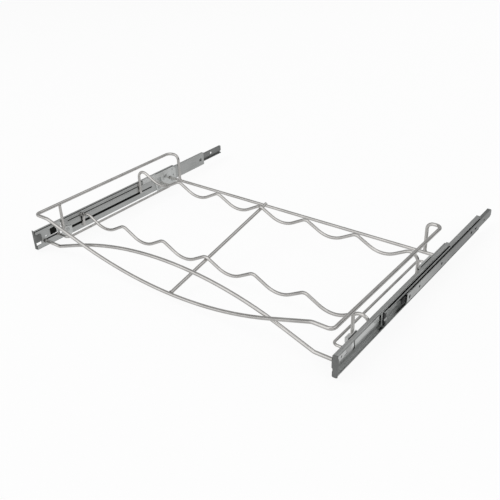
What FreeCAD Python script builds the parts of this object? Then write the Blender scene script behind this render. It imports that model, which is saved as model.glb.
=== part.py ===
import FreeCAD, Part
import math
import os

os.makedirs("parts", exist_ok=True)

V = FreeCAD.Vector

# Pull-out wine rack: a bent-wire cradle for six bottles hung between two ball-bearing slides.
# Lengths are millimetres. X runs across the rack, Y from its front to the back of the cabinet, Z up.
# Here y = 0 is the front face of the end plates and z = 0 the bottom edge of the slides.

# Slides, outside sizes
rack_inner_width = 588.0
slide_length = 350.0
slide_height = 35.0
slide_thickness = 11.0
stage_travel = 175.0

# How far each stage stands out of its home place
middle_out_right = 122.0
middle_out_left = 93.0
cabinet_out_right = 50.5
cabinet_out_left = 67.0

# Sheet thicknesses and the rolled races
rack_sheet = 1.2
middle_sheet = 0.9
cabinet_sheet = 1.0
sheet_bend = 1.5
rack_depth = 7.4
ball_d = 3.5
ball_play = 0.05
ball_b_depth = 7.3
rack_lip_angle = 18.0
middle_lip_angle = 24.0
middle_web_depth = 2.6
middle_shoulder = 0.8
middle_corner = 0.25
cabinet_flange_sweep = 50.0

# Ball cages
cage_sheet = 0.4
cage_a_web_depth = 1.65
cage_b_web_depth = 3.8
cage_edge_gap = 0.4
cage_length = 140.0
cage_home = 105.0
cage_hole_play = 0.15
cage_hole_count = 6
cage_end_margin = 10.0
cage_slot_height = 8.0
cage_slot_margin = 16.0

# Wires
rail_d = 5.6
wave_d = 5.2
post_d = 5.0
base_d = 4.2
rail_z = 67.4
rail_front_y = 7.6
rail_rear_inset = 14.2
rail_joint_gap = 32.0
rail_corner_r = 8.0
rear_corner_r = 10.0
rear_upright_inset = 28.2
front_bow_inset = 35.0
front_bow_run = 72.7
front_bow_bend_r = 14.0
front_bow_lean = 10.0
arch_inset = 38.2
arch_run = 50.8
arch_rise = 50.0
arch_lean = 5.9
arch_y = 19.4
arch_z = 11.1
back_cross_z = 13.7
wave_count = 6
wave_end_reach = 62.0
wave_trough_r = 45.0
wave_crest_r = 12.0
wave_end_r = 14.0
wave_flank = 28.5
front_wave_y = 104.3
back_wave_inset = 100.7
front_crest_z = 31.5
back_crest_z = 60.4
front_leg_z = 5.2
back_leg_z = 13.2
centre_tail = 18.5
base_inset = 27.0
base_z = 11.8
base_front_y = 47.6
base_rear_reach = 21.0
base_corner_r = 7.0
post_y = 58.0
post_foot_z = 18.2

# Brackets on the basket side of the rack members
bracket_sheet = 1.5
bracket_drop = 4.0
bracket_hole_d = 4.0
front_lobe_y = 66.0
front_lobe_r = 11.5
front_lobe_top = 17.0
front_strip_width = 5.0
ear_bottom = 28.0
ear_top = 36.0
front_ear_front_y = 40.0
front_ear_rear_y = 51.5
front_ear_thick = 5.0
front_rivet_back = 2.0
front_rivet_drop = 5.0
front_lobe_step = 3.0

# Rear bracket, measured from its own front edge
rear_bracket_overhang = 2.8
rear_bracket_length = 64.0
rear_bracket_step = 8.0
rear_bracket_top = 34.5
rear_ear_length = 32.0
rear_ear_lap = 5.0
rear_ear_thick = 3.5
rear_corner_cut = 6.0
rear_window = ((7.0, 25.3), (19.0, 26.3), (21.0, 16.0), (16.5, 16.0))
rear_slit_width = 2.0
rear_slit_height = 4.5
rear_slits = ((54.0, 30.0), (56.0, 17.0))
rear_rivets = ((13.0, 5.0), (53.0, 8.0))
boss_reach = 34.0
boss_z = 18.3
boss_d = 18.0
boss_dome = 3.0
rivet_d = 4.0
rivet_head_d = 7.0
rivet_head = 1.6
rivet_head_round = 1.1

# End plates
plate_sheet = 1.2
plate_reach = 8.0
plate_bottom = 1.0
plate_top = 36.0
plate_tab_length = 12.4
plate_tab_bottom = 14.4
plate_tab_top = 28.0
plate_return_length = 3.3
plate_return_bottom = 5.0
plate_return_top = 30.0
plate_gap = 0.7

# Openings and pressed lines in the rack member's web
web_notch_end_y = 11.0
web_notch_bottom = 8.5
web_notch_top = 14.0
web_hole_y = 22.4
web_hole_z = 18.9
web_hole_d = 3.2
window_front_y = 30.0
window_rear_y = 47.5
window_bottom = 15.0
window_top = 30.0
tongue_reach = 0.9
tongue_clear = 1.2
gate_front_y = 52.0
gate_rear_y = 57.5
gate_bottom = 10.0
gate_top = 31.0
groove_z = 13.0
groove_width = 2.6
groove_depth = 0.9
groove_front_y = 15.0
groove_front_end_y = 47.0
groove_start_y = 70.0
groove_end_gap = 6.0
wave_mark_width = 1.6
wave_mark_top = 32.0
crease_z = 26.3
crease_width = 1.0
crease_depth = 0.3

# Cabinet member, its screw slots and the release lever in its front end
cabinet_length = 336.0
cabinet_end_chamfer = 3.5
screw_hole_d = 4.6
screw_spacing = 80.0
screw_first = 41.5
upright_slot = 8.3
upright_slot_height = 6.4
long_slots = (92.4, 73.7)
long_slot_length = 7.0
rear_hole = 34.0
rear_hole_d = 5.0
lever_thick = 2.4
lever_depth = 6.9
lever_head_length = 12.0
lever_head_height = 11.0
lever_head_corner_r = 1.8
lever_arm_height = 4.0
lever_pivot = 34.0
lever_pin_d = 3.0
lever_pin_head_d = 5.4
lever_pin_head = 0.6
lever_bore_play = 0.05
lever_eye_d = 8.0
lever_web_gap = 0.3

# Stop block in the front of the middle member
stop_front_inset = 5.0
stop_pad_length = 8.5
stop_leg_length = 6.0
stop_thick = 1.5
stop_pad_bottom = 1.0
stop_edge_gap = 0.4
stop_rivet_y = 8.0
stop_rivet_z = -4.5
stop_rivet_d = 3.0
stop_rivet_head_d = 6.4
stop_rivet_head = 0.8
square_hole = 6.5
square_hole_end = 8.0

# How far a cutting shape passes the face it cuts
over = 1.0

half_height = slide_height / 2
ball_r = ball_d / 2
groove_r = ball_r + ball_play
ball_a_depth = rack_depth - rack_sheet - groove_r
wall_x = rack_inner_width / 2
rack_front_y = plate_sheet
bracket_face_x = wall_x - bracket_sheet
rack_rear_y = rack_front_y + slide_length
middle_home_y = rack_front_y + plate_return_length + plate_gap
rear_bracket_rear_y = rack_rear_y + rear_bracket_overhang
rear_bracket_front_y = rear_bracket_rear_y - rear_bracket_length
rail_rear_y = rack_rear_y - rail_rear_inset
rail_joint_y = rail_rear_y - rail_joint_gap
back_wave_y = rack_rear_y - back_wave_inset
wave_pitch = 2 * (wall_x - wave_end_reach) / (wave_count - 1)
rail_x = bracket_face_x - rail_d / 2
post_x = bracket_face_x - post_d / 2
wave_leg_x = wall_x - wave_d / 2

# Heights from the slide's middle line: row A runs between rack and middle member,
# row B between middle and cabinet member
ball_a_w = half_height - rack_sheet - groove_r
middle_top_w = ball_a_w - groove_r
middle_under_w = middle_top_w - middle_sheet
ball_b_w = middle_under_w - groove_r
cabinet_top_w = ball_b_w - groove_r


def turned(points, radii):
    """Straight runs through points, each corner rounded by a tangent arc."""
    edges = []
    last = points[0]
    for before, corner, after, radius in zip(points, points[1:], points[2:], radii):
        into = (before - corner).normalize()
        out = (after - corner).normalize()
        half = into.getAngle(out) / 2
        run = radius / math.tan(half)
        start = corner + into * run
        end = corner + out * run
        bisector = (into + out).normalize()
        middle = corner + bisector * (radius / math.sin(half) - radius)
        edges.append(Part.LineSegment(last, start).toShape())
        edges.append(Part.Arc(start, middle, end).toShape())
        last = end
    edges.append(Part.LineSegment(last, points[-1]).toShape())
    return Part.Wire(edges)


def bent_wire(points, radii, diameter):
    """A round wire swept along the rounded path."""
    path = turned(points, radii)
    heading = points[1] - points[0]
    section = Part.Wire([Part.makeCircle(diameter / 2, points[0], heading)])
    return path.makePipeShell([section], True, True)


def outline(points):
    """A closed flat outline: a point, or ('arc', middle, end), follows the point before it."""
    edges = []
    last = points[0]
    for item in points[1:] + [points[0]]:
        if isinstance(item, tuple):
            edges.append(Part.Arc(last, item[1], item[2]).toShape())
            last = item[2]
        elif (item - last).Length > 1e-6:
            edges.append(Part.LineSegment(last, item).toShape())
            last = item
    return Part.Face(Part.Wire(edges))


def around(cu, cw, radius, angle):
    return V(cu + radius * math.cos(math.radians(angle)), 0, cw + radius * math.sin(math.radians(angle)))


def bend(cu, cw, radius, start, end):
    return ("arc", around(cu, cw, radius, (start + end) / 2), around(cu, cw, radius, end))


def both_halves(half):
    """Adds the outline's mirror image below the middle line; arcs keep their middle points."""
    flip = lambda p: V(p.x, 0, -p.z)
    ends = [half[0]] + [item[2] if isinstance(item, tuple) else item for item in half[1:]]
    lower = []
    for index in range(len(half) - 1, 0, -1):
        goal = flip(ends[index - 1])
        item = half[index]
        lower.append(("arc", flip(item[1]), goal) if isinstance(item, tuple) else goal)
    return half + [flip(ends[-1])] + lower


def member(half, start_y, length):
    """Extrudes a slide section given from its middle line up; u is measured from the rack wall."""
    face = outline(both_halves(half))
    solid = face.extrude(V(0, length, 0))
    solid.translate(V(wall_x, start_y, half_height))
    return solid


def box(x0, x1, y0, y1, z0, z1):
    return Part.makeBox(x1 - x0, y1 - y0, z1 - z0, V(x0, y0, z0))


def rod(diameter, start, length, axis):
    return Part.makeCylinder(diameter / 2, length, start, axis)


def slot(length, width, x, y, z, depth, upright=False):
    """A round-ended slot cut along X."""
    reach = (length - width) / 2
    step = V(0, 0, reach) if upright else V(0, reach, 0)
    centre = V(x, y, z)
    ends = [rod(width, centre + step * sign, depth, V(1, 0, 0)) for sign in (-1, 1)]
    if upright:
        middle = box(x, x + depth, y - width / 2, y + width / 2, z - reach, z + reach)
    else:
        middle = box(x, x + depth, y - reach, y + reach, z - width / 2, z + width / 2)
    return middle.fuse(ends)


def plate_yz(points, x0, thickness):
    """A flat plate parallel to the slide's wall, from (y, z) corners."""
    corners = [V(x0, y, z) for y, z in points]
    return Part.Face(Part.makePolygon(corners + corners[:1])).extrude(V(thickness, 0, 0))


def mirrored(shape):
    return shape.mirror(V(0, 0, 0), V(1, 0, 0))


def arc_corner(cu, cw, radius, start, end):
    return [around(cu, cw, radius, start), bend(cu, cw, radius, start, end)]


def rack_section():
    """Big C section whose edges curl over the outer row of balls, open towards the cabinet."""
    outer_r = groove_r + rack_sheet
    inner_bend = sheet_bend - rack_sheet
    top = half_height - rack_sheet
    half = [V(0, 0, 0)]
    half += arc_corner(sheet_bend, half_height - sheet_bend, sheet_bend, 180, 90)
    half += arc_corner(ball_a_depth, ball_a_w, outer_r, 90, rack_lip_angle)
    half += arc_corner(ball_a_depth, ball_a_w, groove_r, rack_lip_angle, 90)
    half += arc_corner(sheet_bend, top - inner_bend, inner_bend, 90, 180)
    half += [V(rack_sheet, 0, 0)]
    return half


def middle_section():
    """Middle C section: a race outside for row A, its edges curled over row B."""
    u0 = middle_web_depth
    top = middle_top_w + middle_shoulder
    meet = math.degrees(math.asin((ball_a_w - top) / groove_r))
    outer_r = groove_r + middle_sheet
    inner_bend = sheet_bend - middle_sheet
    half = [V(u0, 0, 0)]
    half += arc_corner(u0 + middle_corner, top - middle_corner, middle_corner, 180, 90)
    half += [around(ball_a_depth, ball_a_w, groove_r, 180 + meet)]
    half += [bend(ball_a_depth, ball_a_w, groove_r, 180 + meet, 270)]
    half += arc_corner(ball_b_depth, ball_b_w, outer_r, 90, middle_lip_angle)
    half += arc_corner(ball_b_depth, ball_b_w, groove_r, middle_lip_angle, 90)
    half += arc_corner(u0 + sheet_bend, middle_under_w - inner_bend, inner_bend, 90, 180)
    half += [V(u0 + middle_sheet, 0, 0)]
    return half


def cabinet_section():
    """Small C section that faces back into the middle member."""
    back = slide_thickness
    outer_r = groove_r + cabinet_sheet
    inner_bend = sheet_bend - cabinet_sheet
    end = 270 - cabinet_flange_sweep
    half = [V(back, 0, 0)]
    half += arc_corner(back - sheet_bend, cabinet_top_w - sheet_bend, sheet_bend, 0, 90)
    half += [V(ball_b_depth, 0, cabinet_top_w)]
    half += [bend(ball_b_depth, ball_b_w, groove_r, 270, end)]
    half += [around(ball_b_depth, ball_b_w, outer_r, end)]
    half += [bend(ball_b_depth, ball_b_w, outer_r, end, 270)]
    half += arc_corner(back - sheet_bend, cabinet_top_w - sheet_bend, inner_bend, 90, 0)
    half += [V(back - cabinet_sheet, 0, 0)]
    return half


def groove(y0, y1, z0, z1, depth):
    """A line pressed into the basket side of the rack member's web."""
    return box(wall_x - over, wall_x + depth, y0, y1, z0, z1)


def rack_member():
    solid = member(rack_section(), rack_front_y, slide_length)
    low = groove_z - groove_width / 2
    high = groove_z + groove_width / 2
    inside = wall_x - over
    outside = wall_x + rack_sheet + over
    groove_end_y = rear_bracket_front_y - groove_end_gap
    cuts = [
        box(inside, outside, 0, web_notch_end_y, web_notch_bottom, web_notch_top),
        rod(web_hole_d, V(inside, web_hole_y, web_hole_z), outside - inside, V(1, 0, 0)),
        box(inside, outside, window_front_y, window_rear_y, window_bottom, window_top),
        box(inside, outside, gate_front_y, gate_rear_y, gate_bottom, gate_top),
        groove(groove_front_y, groove_front_end_y, low, high, groove_depth),
        groove(groove_start_y, groove_end_y, low, high, groove_depth),
        groove(groove_start_y, groove_end_y, crease_z, crease_z + crease_width, crease_depth),
    ]
    for wave_y in (front_wave_y, back_wave_y):
        mark_end = wave_y - wave_d / 4
        cuts.append(groove(mark_end - wave_mark_width, mark_end, high, wave_mark_top, groove_depth))
    for y, z in rivet_places():
        cuts.append(rod(rivet_d, V(inside, y, z), outside - inside, V(1, 0, 0)))
    solid = solid.cut(cuts)
    lean = tongue_reach / (window_rear_y - window_front_y)
    tip_y = window_rear_y - tongue_clear
    root_y = window_front_y - tongue_clear
    root = [V(wall_x, root_y, 0), V(wall_x + rack_sheet, root_y, 0)]
    tip = [V(wall_x + rack_sheet + lean * (tip_y - window_front_y), tip_y, 0)]
    tip += [V(tip[0].x - rack_sheet, tip_y, 0)]
    edge = [V(wall_x + rack_sheet, window_front_y, 0), V(wall_x, window_front_y, 0)]
    corners = [root[0], root[1], edge[0], tip[0], tip[1], edge[1]]
    tongue = Part.Face(Part.makePolygon(corners + corners[:1]))
    tongue.translate(V(0, 0, window_bottom + tongue_clear))
    tongue = tongue.extrude(V(0, 0, window_top - window_bottom - 2 * tongue_clear))
    return solid.fuse(tongue).removeSplitter()


def middle_member():
    solid = member(middle_section(), middle_home_y, slide_length)
    end_y = middle_home_y + slide_length - square_hole_end
    inside = wall_x + middle_web_depth - over
    reach = middle_sheet + 2 * over
    side = square_hole / 2
    rivet = V(inside, middle_home_y + stop_rivet_y, half_height + stop_rivet_z)
    cuts = [
        box(inside, inside + reach, end_y - square_hole, end_y, half_height - side, half_height + side),
        rod(stop_rivet_d, rivet, reach, V(1, 0, 0)),
    ]
    return solid.cut(cuts).removeSplitter()


def cabinet_front():
    return middle_home_y + slide_length - cabinet_length


def cabinet_member():
    front = cabinet_front()
    rear = front + cabinet_length
    solid = member(cabinet_section(), front, cabinet_length)
    inside = wall_x + slide_thickness - cabinet_sheet - over
    reach = cabinet_sheet + 2 * over
    across = V(1, 0, 0)
    cuts = [slot(upright_slot_height, screw_hole_d, inside, front + upright_slot, half_height, reach, True)]
    for along in (screw_first, screw_first + screw_spacing):
        cuts.append(rod(screw_hole_d, V(inside, front + along, half_height), reach, across))
    for before_end in long_slots:
        cuts.append(slot(long_slot_length, screw_hole_d, inside, rear - before_end, half_height, reach))
    cuts.append(rod(rear_hole_d, V(inside, rear - rear_hole, half_height), reach, across))
    cuts.append(rod(lever_pin_d, V(inside, front + lever_pivot, half_height), reach, across))
    for side in (-1, 1):
        edge = half_height + side * (cabinet_top_w + over)
        inner = half_height + side * (cabinet_top_w - cabinet_end_chamfer)
        corners = [(rear + over, edge), (rear + over, inner), (rear, inner)]
        corners.append((rear - cabinet_end_chamfer * 2, edge))
        cuts.append(plate_yz(corners, wall_x, slide_thickness + over))
    return solid.cut(cuts).removeSplitter()


def cage(web_depth, ball_depth, ball_w):
    """Thin channel with open pockets that space the balls, and a long window in its web."""
    outer = ball_w + cage_sheet / 2
    inner = ball_w - cage_sheet / 2
    x0 = wall_x + web_depth
    x1 = wall_x + ball_depth + groove_r - cage_edge_gap
    y0 = middle_home_y + cage_home
    y1 = y0 + cage_length
    solid = box(x0, x1, y0, y1, half_height - outer, half_height + outer)
    window = box(x0 - over, x0 + cage_sheet + over, y0 + cage_slot_margin, y1 - cage_slot_margin,
                 half_height - cage_slot_height / 2, half_height + cage_slot_height / 2)
    hollow = box(x0 + cage_sheet, x1 + over, y0 - over, y1 + over, half_height - inner, half_height + inner)
    low = half_height - outer - over
    pocket_d = ball_d + 2 * cage_hole_play
    pockets = [rod(pocket_d, V(wall_x + ball_depth, y, low), 2 * (outer + over), V(0, 0, 1))
               for y in ball_places()]
    return solid.cut([hollow, window] + pockets)


def ball_places():
    step = (cage_length - 2 * cage_end_margin) / (cage_hole_count - 1)
    first = middle_home_y + cage_home + cage_end_margin
    return [first + step * index for index in range(cage_hole_count)]


def balls(ball_depth, ball_w):
    centres = [V(wall_x + ball_depth, y, half_height + side * ball_w)
               for side in (-1, 1) for y in ball_places()]
    return Part.makeCompound([Part.makeSphere(ball_r, centre) for centre in centres])


def release_lever():
    """Plastic lever that lies inside the cabinet member and shows at its front end."""
    front = cabinet_front()
    x0 = wall_x + lever_depth
    x1 = x0 + lever_thick
    pivot_y = front + lever_pivot
    arm_half = lever_arm_height / 2
    head_half = lever_head_height / 2
    head = box(x0, x1, front - lever_head_length, front, half_height - head_half, half_height + head_half)
    corners = [edge for edge in head.Edges if edge.Vertexes[0].Y == edge.Vertexes[-1].Y
               and edge.BoundBox.XLength > lever_thick / 2]
    head = head.makeFillet(lever_head_corner_r, corners)
    arm = box(x0, x1, front - over, pivot_y, half_height - arm_half, half_height + arm_half)
    eye = rod(lever_eye_d, V(x0, pivot_y, half_height), lever_thick, V(1, 0, 0))
    bore_d = lever_pin_d + 2 * lever_bore_play
    bore = rod(bore_d, V(x0 - over, pivot_y, half_height), lever_thick + 2 * over, V(1, 0, 0))
    return head.fuse([arm, eye]).cut(bore).removeSplitter()


def lever_pin():
    """Rivet through the lever's eye, its tail flush with the cabinet member's outer face."""
    start = wall_x + lever_depth - lever_web_gap
    y = cabinet_front() + lever_pivot
    pin = rod(lever_pin_d, V(start, y, half_height), wall_x + slide_thickness - start, V(1, 0, 0))
    head = rod(lever_pin_head_d, V(start - lever_pin_head, y, half_height), lever_pin_head, V(1, 0, 0))
    return pin.fuse(head).removeSplitter()


def middle_stop():
    """Buffer riveted to the middle member's web: a pad at the top and a leg down to the lower race."""
    x0 = wall_x + middle_web_depth + middle_sheet
    x1 = x0 + stop_thick
    y0 = middle_home_y + stop_front_inset
    reach = middle_under_w - stop_edge_gap
    pad = box(x0, x1, y0, y0 + stop_pad_length, half_height + stop_pad_bottom, half_height + reach)
    leg = box(x0, x1, y0, y0 + stop_leg_length, half_height - reach, half_height + stop_pad_bottom + over)
    centre = V(x0 - over, middle_home_y + stop_rivet_y, half_height + stop_rivet_z)
    bore = rod(stop_rivet_d, centre, stop_thick + 2 * over, V(1, 0, 0))
    return pad.fuse(leg).cut(bore).removeSplitter()


def stop_rivet():
    start = V(wall_x + middle_web_depth, middle_home_y + stop_rivet_y, half_height + stop_rivet_z)
    length = middle_sheet + stop_thick
    shank = rod(stop_rivet_d, start, length, V(1, 0, 0))
    head = rod(stop_rivet_head_d, start + V(length, 0, 0), stop_rivet_head, V(1, 0, 0))
    return shank.fuse(head).removeSplitter()


def end_plate():
    """Folded cap: a face across the slide's front, a tab on the basket side, a return in the channel."""
    inner = wall_x - plate_sheet
    outer = wall_x + plate_reach
    face = box(wall_x, outer, 0, plate_sheet, plate_bottom, plate_top)
    tab_face = box(inner, wall_x + over, 0, plate_sheet, plate_tab_bottom, plate_tab_top)
    tab = box(inner, wall_x, 0, plate_tab_length, plate_tab_bottom, plate_tab_top)
    back = plate_sheet + plate_return_length
    fold = box(outer - plate_sheet, outer, 0, back, plate_return_bottom, plate_return_top)
    return face.fuse([tab_face, tab, fold]).removeSplitter()


def front_bracket():
    """Plate against the web: a round foot below the slide and an ear above it."""
    x0 = bracket_face_x
    foot_z = front_lobe_r - bracket_drop
    disc = rod(2 * front_lobe_r, V(x0, front_lobe_y, foot_z), bracket_sheet, V(1, 0, 0))
    lobe_end = front_lobe_y + front_lobe_r
    body = box(x0, wall_x, front_lobe_y - front_lobe_r + front_lobe_step, lobe_end, foot_z, front_lobe_top)
    strip_end = gate_rear_y + front_strip_width
    strip = box(x0, wall_x, gate_rear_y, strip_end, foot_z, ear_top)
    ear = box(wall_x - front_ear_thick, wall_x, front_ear_front_y, front_ear_rear_y, ear_bottom, ear_top)
    bridge = box(x0, wall_x, front_ear_front_y, strip_end, gate_top, ear_top)
    solid = disc.fuse([body, strip, ear, bridge]).removeSplitter()
    through = bracket_sheet + 2 * over
    y, z = front_rivet_place()
    holes = [rod(rivet_d, V(x0 - over, y, z), through, V(1, 0, 0))]
    holes.append(rod(bracket_hole_d, V(x0 - over, front_lobe_y, 0), through, V(1, 0, 0)))
    return solid.cut(holes)


def front_rivet_place():
    return front_lobe_y + front_rivet_back, front_lobe_top - front_rivet_drop


def rear_rivet_places():
    return [(rear_bracket_front_y + back, z) for back, z in rear_rivets]


def rivet_places():
    return [front_rivet_place()] + rear_rivet_places()


def rear_bracket():
    """Plate against the web at the back, with a four-cornered window and an ear towards the front."""
    x0 = bracket_face_x
    through = bracket_sheet + 2 * over
    foot = -bracket_drop
    front = rear_bracket_front_y
    rear = rear_bracket_rear_y
    top = rear_bracket_top
    cut = rear_corner_cut
    corners = [
        (front + rear_bracket_step, foot), (rear - cut, foot), (rear, foot + cut), (rear, top - cut),
        (rear - cut, top), (front, top), (front, ear_bottom),
    ]
    cuts = [plate_yz([(front + back, z) for back, z in rear_window], x0 - over, through)]
    for y, z in rear_rivet_places():
        cuts.append(rod(rivet_d, V(x0 - over, y, z), through, V(1, 0, 0)))
    for back, z in rear_slits:
        cuts.append(slot(rear_slit_height, rear_slit_width, x0 - over, front + back, z, through, True))
    ear_front = front - rear_ear_length
    ear = box(wall_x - rear_ear_thick, wall_x, ear_front, front + rear_ear_lap, ear_bottom, ear_top)
    return plate_yz(corners, x0, bracket_sheet).cut(cuts).fuse(ear).removeSplitter()


def rear_boss():
    """Low dome pressed on the rear bracket's basket side."""
    sphere_r = ((boss_d / 2) ** 2 + boss_dome ** 2) / (2 * boss_dome)
    boss_y = rear_bracket_front_y + boss_reach
    centre = V(bracket_face_x - boss_dome + sphere_r, boss_y, boss_z)
    ball = Part.makeSphere(sphere_r, centre)
    keep = box(bracket_face_x - boss_dome - over, bracket_face_x, boss_y - boss_d, boss_y + boss_d,
               boss_z - boss_d, boss_z + boss_d)
    return ball.common(keep)


def rivets():
    pieces = []
    for y, z in rivet_places():
        shank = rod(rivet_d, V(bracket_face_x, y, z), bracket_sheet + rack_sheet, V(1, 0, 0))
        head = rod(rivet_head_d, V(bracket_face_x - rivet_head, y, z), rivet_head, V(1, 0, 0))
        rim = [edge for edge in head.Edges
               if edge.BoundBox.XMax < bracket_face_x - rivet_head / 2 and edge.BoundBox.XLength < 1e-3]
        head = head.makeFillet(rivet_head_round, rim)
        pieces.append(shank.fuse(head).removeSplitter())
    return pieces


# The centre wire passes under the middle crest of both waves
wave_touch = (wave_d + rail_d) / 2
rise = back_crest_z - front_crest_z
centre_slope = math.atan2(rise, back_wave_y - front_wave_y)


def centre_z(y):
    return front_crest_z - wave_touch / math.cos(centre_slope) + math.tan(centre_slope) * (y - front_wave_y)


def bow(bend_x, depth, run):
    """Radius of a bow between two straight runs of this length, and how deep the runs would meet."""
    radius = (bend_x ** 2 + depth ** 2 - run ** 2) / (2 * depth)
    slope = math.atan2(bend_x, radius - depth) - math.atan2(run, radius)
    return radius, bend_x * math.tan(slope)


def top_rail():
    """Side rails and the bowed front in one wire, its ends butt-welded to the back uprights."""
    lean = math.radians(front_bow_lean)
    slope = math.tan(centre_slope)
    fall = rail_z - centre_z(0) - slope * rail_front_y
    depth = fall / (math.cos(lean) + slope * math.sin(lean))
    front_bow_x = wall_x - front_bow_inset
    front_bow_r, apex = bow(front_bow_x, depth, front_bow_run)
    half = [
        V(rail_x, rail_joint_y, rail_z),
        V(rail_x, rail_front_y, rail_z),
        V(front_bow_x, rail_front_y, rail_z),
    ]
    middle = [V(0, rail_front_y + apex * math.sin(lean), rail_z - apex * math.cos(lean))]
    other = [V(-p.x, p.y, p.z) for p in reversed(half)]
    side_radii = [rail_corner_r, front_bow_bend_r]
    radii = side_radii + [front_bow_r] + side_radii[::-1]
    low = V(0, rail_front_y + depth * math.sin(lean), rail_z - depth * math.cos(lean))
    return bent_wire(half + middle + other, radii, rail_d), low


def rear_upright():
    """Back end of a side rail: turned in, then down to the cross wire."""
    upright_x = wall_x - rear_upright_inset
    points = [
        V(upright_x, rail_rear_y, back_cross_z + rail_d / 2),
        V(upright_x, rail_rear_y, rail_z),
        V(rail_x, rail_rear_y, rail_z),
        V(rail_x, rail_joint_y, rail_z),
    ]
    return bent_wire(points, [rear_corner_r, rear_corner_r], rail_d)


def front_arch():
    """Second bow: springs from the slides near the front and arches up behind the first."""
    lean = math.radians(arch_lean)
    arch_x = wall_x - arch_inset
    arch_r, apex = bow(arch_x, arch_rise, arch_run)
    points = [
        V(wall_x, arch_y, arch_z),
        V(arch_x, arch_y, arch_z),
        V(0, arch_y + apex * math.sin(lean), arch_z + apex * math.cos(lean)),
        V(-arch_x, arch_y, arch_z),
        V(-wall_x, arch_y, arch_z),
    ]
    return bent_wire(points, [front_bow_bend_r, arch_r, front_bow_bend_r], rail_d)


def wave(y, crest_z, leg_z):
    """Cradle wire: a wide trough for each bottle, narrow crests between, a leg at each end."""
    flank = math.radians(wave_flank)
    crest_vertex = crest_z + wave_crest_r * (1 / math.cos(flank) - 1)
    trough_vertex = crest_vertex - wave_pitch / 2 * math.tan(flank)
    last_trough = wall_x - wave_end_reach
    end_vertex = trough_vertex + (wave_leg_x - last_trough) * math.tan(flank)
    points = [V(-wave_leg_x, y, leg_z), V(-wave_leg_x, y, end_vertex)]
    radii = [wave_end_r]
    for index in range(1 - wave_count, wave_count):
        trough = index % 2 != 0
        points.append(V(index * wave_pitch / 2, y, trough_vertex if trough else crest_vertex))
        radii.append(wave_trough_r if trough else wave_crest_r)
    points += [V(wave_leg_x, y, end_vertex), V(wave_leg_x, y, leg_z)]
    radii.append(wave_end_r)
    return bent_wire(points, radii, wave_d)


def centre_wire(low):
    along = V(0, math.cos(centre_slope), math.sin(centre_slope))
    start = low + along * (rail_d / 2)
    length = (back_wave_y + centre_tail - start.y) / along.y
    return rod(rail_d, start, length, along)


def back_cross_wire():
    return rod(rail_d, V(-bracket_face_x, rail_rear_y, back_cross_z), 2 * bracket_face_x, V(1, 0, 0))


def base_wire():
    """Low side wire, turned out to the slide at both ends."""
    base_x = wall_x - base_inset
    base_rear_y = rear_bracket_front_y + base_rear_reach
    points = [
        V(wall_x, base_front_y, base_z), V(base_x, base_front_y, base_z),
        V(base_x, base_rear_y, base_z), V(bracket_face_x, base_rear_y, base_z),
    ]
    return bent_wire(points, [base_corner_r, base_corner_r], base_d)


def front_post():
    top = rail_z - rail_d / 2
    return rod(post_d, V(post_x, post_y, post_foot_z), top - post_foot_z, V(0, 0, 1))


right_travel = {"middle": middle_out_right, "cabinet": cabinet_out_right}
left_travel = {"middle": middle_out_left, "cabinet": cabinet_out_left}
rear_y = max(t["middle"] + t["cabinet"] for t in (right_travel, left_travel)) + middle_home_y + slide_length
to_origin = V(0, -rear_y / 2, bracket_drop)


def save(name, shape):
    placed = shape.copy()
    placed.translate(to_origin)
    placed.exportStep("parts/" + name + ".step")
    print(name, placed.isValid(), len(placed.Solids), round(placed.Volume, 1))


def moved(shape, distance):
    placed = shape.copy()
    placed.translate(V(0, distance, 0))
    return placed


rail, front_low = top_rail()
save("top_rail", rail)
save("front_arch_wire", front_arch())
save("centre_wire", centre_wire(front_low))
save("front_wave_wire", wave(front_wave_y, front_crest_z, front_leg_z))
save("back_wave_wire", wave(back_wave_y, back_crest_z, back_leg_z))
save("back_cross_wire", back_cross_wire())

fixed = {
    "rack_member": rack_member(),
    "end_plate": end_plate(),
    "front_bracket": front_bracket(),
    "rear_bracket": rear_bracket(),
    "rear_boss": rear_boss(),
    "rear_upright": rear_upright(),
    "base_wire": base_wire(),
    "front_post": front_post(),
}
with_middle = {
    "middle_member": middle_member(),
    "middle_stop": middle_stop(),
    "stop_rivet": stop_rivet(),
}
with_cabinet = {
    "cabinet_member": cabinet_member(),
    "lever_pin": lever_pin(),
    "release_lever": release_lever(),
}
row_a = {
    "inner_cage": cage(cage_a_web_depth, ball_a_depth, ball_a_w),
    "inner_balls": balls(ball_a_depth, ball_a_w),
}
row_b = {
    "outer_cage": cage(cage_b_web_depth, ball_b_depth, ball_b_w),
    "outer_balls": balls(ball_b_depth, ball_b_w),
}

for side, travel in (("right", right_travel), ("left", left_travel)):
    middle = travel["middle"]
    groups = [
        (fixed, 0), (with_middle, middle), (with_cabinet, middle + travel["cabinet"]),
        (row_a, middle / 2), (row_b, middle + travel["cabinet"] / 2),
    ]
    for pieces, distance in groups:
        for name, shape in pieces.items():
            placed = moved(shape, distance)
            save(name + "_" + side, mirrored(placed) if side == "left" else placed)

all_rivets = rivets()
save("bracket_rivets", Part.makeCompound(all_rivets + [mirrored(rivet) for rivet in all_rivets]))
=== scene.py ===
import math

import bmesh
import bpy
from mathutils import Matrix, Vector, noise


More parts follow.
